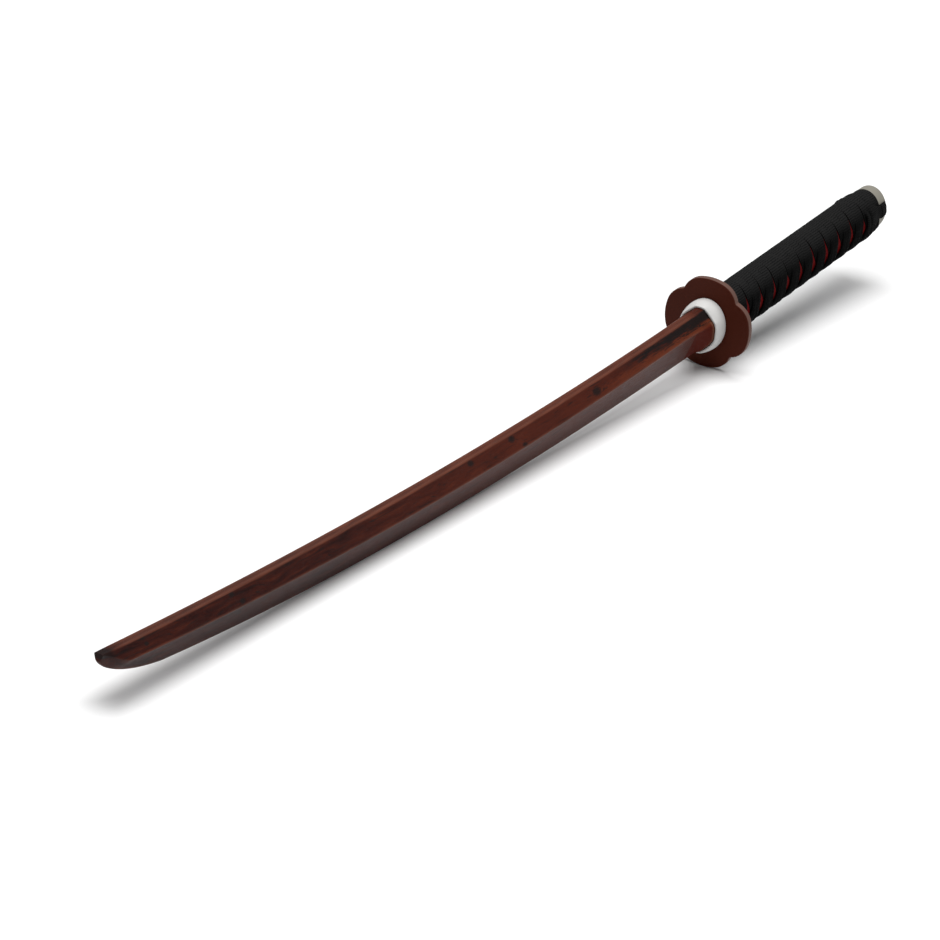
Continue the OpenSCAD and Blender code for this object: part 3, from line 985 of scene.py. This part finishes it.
def build_panel(name, node, side, material):
    """Cloth panel under the cord, a little proud in the openings between the crossings."""
    rows, columns = 240, 36
    xs = np.linspace(PANEL_BACK, PANEL_FRONT, rows)
    angles = np.linspace(-PANEL_HALF_ANGLE, PANEL_HALF_ANGLE, columns)
    x, a = np.meshgrid(xs, angles, indexing="ij")
    phase = (x - FIRST_CROSSING) / CORD_PITCH + (0 if side > 0 else 0.5)
    puff = np.sin(math.pi * phase) ** 2 * np.cos(a * 1.4) ** 2
    outer = wall_points(x, a, PANEL_T + PANEL_PUFF * puff)
    inner = wall_points(x, a, np.full_like(x, PANEL_INSIDE))
    points = there_and_back(outer, inner)
    points[..., 1] *= side
    # Painted highlight beside the cord, a pale spot, different in each opening
    opening = np.floor(-phase)
    along, around = (-phase - opening - SPOT_AT) / SPOT_LEN, (a + SPOT_DOWN) / SPOT_ROUND
    highlight_share = np.exp(-(along**2) - around**2) * np.clip(-0.1 + 0.6 * wobble(opening, side), 0, HIGHLIGHT_MOST)
    marks = np.stack([x, a * 16, highlight_share], -1)
    faces = tube_faces(rows, 2 * columns)
    piece = make_piece(name, points, faces, material, {"panel_at": there_and_back(marks, marks)})
    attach(piece, "sword")
    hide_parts(node)


# ---------------------------------------------------------------- ends of the cord
# Half the patch's and the strap's angle, and how far each is turned up from the side, in degrees
PATCH_HALF, STRAP_HALF = 50.0, 22.0
PATCH_UP, STRAP_UP = 2.0, 14.0
# Distances behind the guard where the band narrows, steps up, thins and ends
BAND_NARROWS, BAND_STEPS_UP = (239, 250), (232, 240)
BAND_THINS, BAND_ENDS = (248, 258.5), (257.5, 259.8)
PATCH_LIFT, STRAP_LIFT = 1.5, 1.9
# The loops: from and to what angle, half the width and half the thickness of the doubled cord
LOOP_FROM, LOOP_TO = -36, 44
LOOP_HALF_W, LOOP_HALF_T = 2.1, 1.2
LOOP_HEIGHT, LOOP_SINK = 2.5, 2.0
# Stations of the two loops' middles, and how far each is off to one end on the left or the right
LOOP_MIDDLES = ((LAST_CROSSING + 3, 2.8), (LAST_CROSSING - 3, 2.2))
# Millimetres of weave to a radian of the handle
WEAVE_PACE = 17
# Painted shade on the cord's ends: how much of their colour is kept all over
END_LIT = 0.6


def end_band():
    """Patch and strap: one band along the sword that narrows where it goes over the cap."""
    rows, columns = 60, 44
    xs = np.linspace(LAST_CROSSING - 1, -HANDLE_LEN + 2.2, rows)
    x, v = np.meshgrid(xs, np.linspace(-1, 1, columns), indexing="ij")
    narrow = ease(-x, *BAND_NARROWS)
    half = np.radians(mix(PATCH_HALF, STRAP_HALF, narrow))
    a = v * half + np.radians(mix(PATCH_UP, STRAP_UP, narrow))
    folds = 0.35 * np.sin(v * 9 + x * 0.35) + 0.2 * np.sin(v * 17 - x * 0.5)
    lift = mix(PATCH_LIFT, STRAP_LIFT, ease(-x, *BAND_STEPS_UP)) - 0.9 * ease(-x, *BAND_THINS)
    rise = lift + 0.45 * folds * (1 - 0.6 * narrow) + 0.55 * (1 - np.abs(v) ** 3)
    end_drop = 1 - 0.85 * ease(-x, *BAND_ENDS)
    outer = wall_points(x, a, 0.25 + rise * end_drop * (1 - 0.75 * np.abs(v) ** 8))
    inner = wall_points(x, a, np.full_like(x, 0.15))
    marks = np.stack([x, a * WEAVE_PACE, np.full_like(x, 7.0)], -1)
    return there_and_back(outer, inner), there_and_back(marks, marks)


def end_loop(index, middle):
    """The cord doubled across the last crossing, its ends tucked under the wrap."""
    rows, columns = 40, 16
    tuck = np.abs(np.linspace(-1, 1, rows)) ** 6
    turn = np.radians(np.linspace(LOOP_FROM, LOOP_TO, rows))
    a, b = np.meshgrid(turn, angles_round(columns), indexing="ij")
    bow = 0.8 * np.cos(a * 2 + index) * (1 if index else -1)
    x = middle + bow + LOOP_HALF_W * np.cos(b) * (1 - 0.3 * tuck[:, None])
    rise = LOOP_HEIGHT - LOOP_SINK * tuck[:, None] + LOOP_HALF_T * np.sin(b)
    marks = np.stack([a * WEAVE_PACE, b * 2.2, np.full_like(a, 3.0 + index)], -1)
    return wall_points(x, a, rise), marks


def build_knot(name, node, side, material):
    """The cord's end on one side: a wide folded patch, a strap over the cap and two loops."""
    middles = [middle + shift * side for middle, shift in LOOP_MIDDLES]
    tubes = [end_band()] + [end_loop(index, middle) for index, middle in enumerate(middles)]
    faces, start = [], 0
    for grid, _ in tubes:
        rows, columns = grid.shape[:2]
        faces += tube_faces(rows, columns, start)
        start += rows * columns
    points = np.concatenate([grid.reshape(-1, 3) for grid, _ in tubes])
    points[:, 1] *= side
    cord_at = np.concatenate([marks.reshape(-1, 3) for _, marks in tubes])
    # The ends carry an even painted shade
    lit_marks = np.tile([END_LIT, 0, 0], (len(points), 1))
    piece = make_piece(name, points, faces, material, {"cord_at": cord_at, "cord_faded": lit_marks})
    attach(piece, "sword")
    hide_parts(node)


# ---------------------------------------------------------------- cap
CAP_W, CAP_H = CORE_W - 0.2, CORE_H - 0.6
CAP_RIM_R = 1.8
CAP_LIP = 0.3


def build_cap(material):
    """The cap: a cup with a rounded rim."""
    angle = angles_round(144)
    floor = -HANDLE_LEN + CAP_WALL + 0.4

    def outline(cut):
        return oval(angle, CAP_W - 2 * cut, CAP_H - 2 * cut, CORE_POWER)

    loops = [(floor, outline(CAP_WALL) * 0.02), (floor, outline(CAP_WALL + 0.4))]
    loops += [(floor + 0.4, outline(CAP_WALL))]
    loops += [(CAP_FRONT - CAP_LIP, outline(CAP_WALL)), (CAP_FRONT, outline(CAP_WALL - CAP_LIP))]
    loops += [(CAP_FRONT, outline(CAP_LIP)), (CAP_FRONT - CAP_LIP, outline(0))]
    loops += [(s, outline(0)) for s in np.linspace(CAP_FRONT - 2, -HANDLE_LEN + CAP_RIM_R, 5)]
    for a in np.linspace(0, math.pi / 2, 8)[1:]:
        cut = CAP_RIM_R * (1 - math.cos(a))
        loops.append((-HANDLE_LEN + CAP_RIM_R * (1 - math.sin(a)), outline(cut)))
    loops += [(-HANDLE_LEN, outline(CAP_RIM_R) * t) for t in (0.8, 0.5, 0.02)]
    faces = tube_faces(len(loops), len(angle))
    piece = make_piece("cap_cup", stack_loops(loops), faces, material, {})
    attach(piece, "sword")
    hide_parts("pommel_cap")


# ---------------------------------------------------------------- studio
FLOOR_HALF = 8.0
SOFTBOX_PLACE, SOFTBOX_AIM = (0.1, -0.05, 4.0), (0.0, 0.0, 0.0)
SOFTBOX_SIZE, SOFTBOX_WATTS = 4.2, 236
SURROUND = 0.25


def build_floor():
    corners = [(x * FLOOR_HALF, y * FLOOR_HALF, 0) for x, y in ((-1, -1), (1, -1), (1, 1), (-1, 1))]
    mesh = bpy.data.meshes.new("floor")
    mesh.from_pydata(corners, [], [(0, 1, 2, 3)])
    mesh.materials.append(floor_white())
    floor = bpy.data.objects.new("floor", mesh)
    bpy.context.scene.collection.objects.link(floor)


def light_studio():
    world = bpy.data.worlds.new("studio")
    world.use_nodes = True
    background = world.node_tree.nodes["Background"]
    background.inputs["Color"].default_value = (1, 1, 1, 1)
    background.inputs["Strength"].default_value = SURROUND
    bpy.context.scene.world = world
    area_light("overhead_softbox", SOFTBOX_PLACE, SOFTBOX_AIM, SOFTBOX_SIZE, SOFTBOX_WATTS)
    bpy.context.scene.view_settings.view_transform = "Standard"


place_camera()
build_floor()
light_studio()
build_wood(hardwood())
build_guard(guard_plastic())
build_ring(ring_rubber())
cotton, cloth = black_cotton(), red_cloth()
build_panel("panel_left", "side_panel_left", 1, cloth)
build_panel("panel_right", "side_panel_right", -1, cloth)
build_run("cord_run_first", "binding_cord_first_run", 1, 0, cotton)
build_run("cord_run_second", "binding_cord_second_run", -1, 1, cotton)
build_knot("cord_end_left", "end_knot_left", 1, cotton)
build_knot("cord_end_right", "end_knot_right", -1, cotton)
build_cap(cap_plastic())
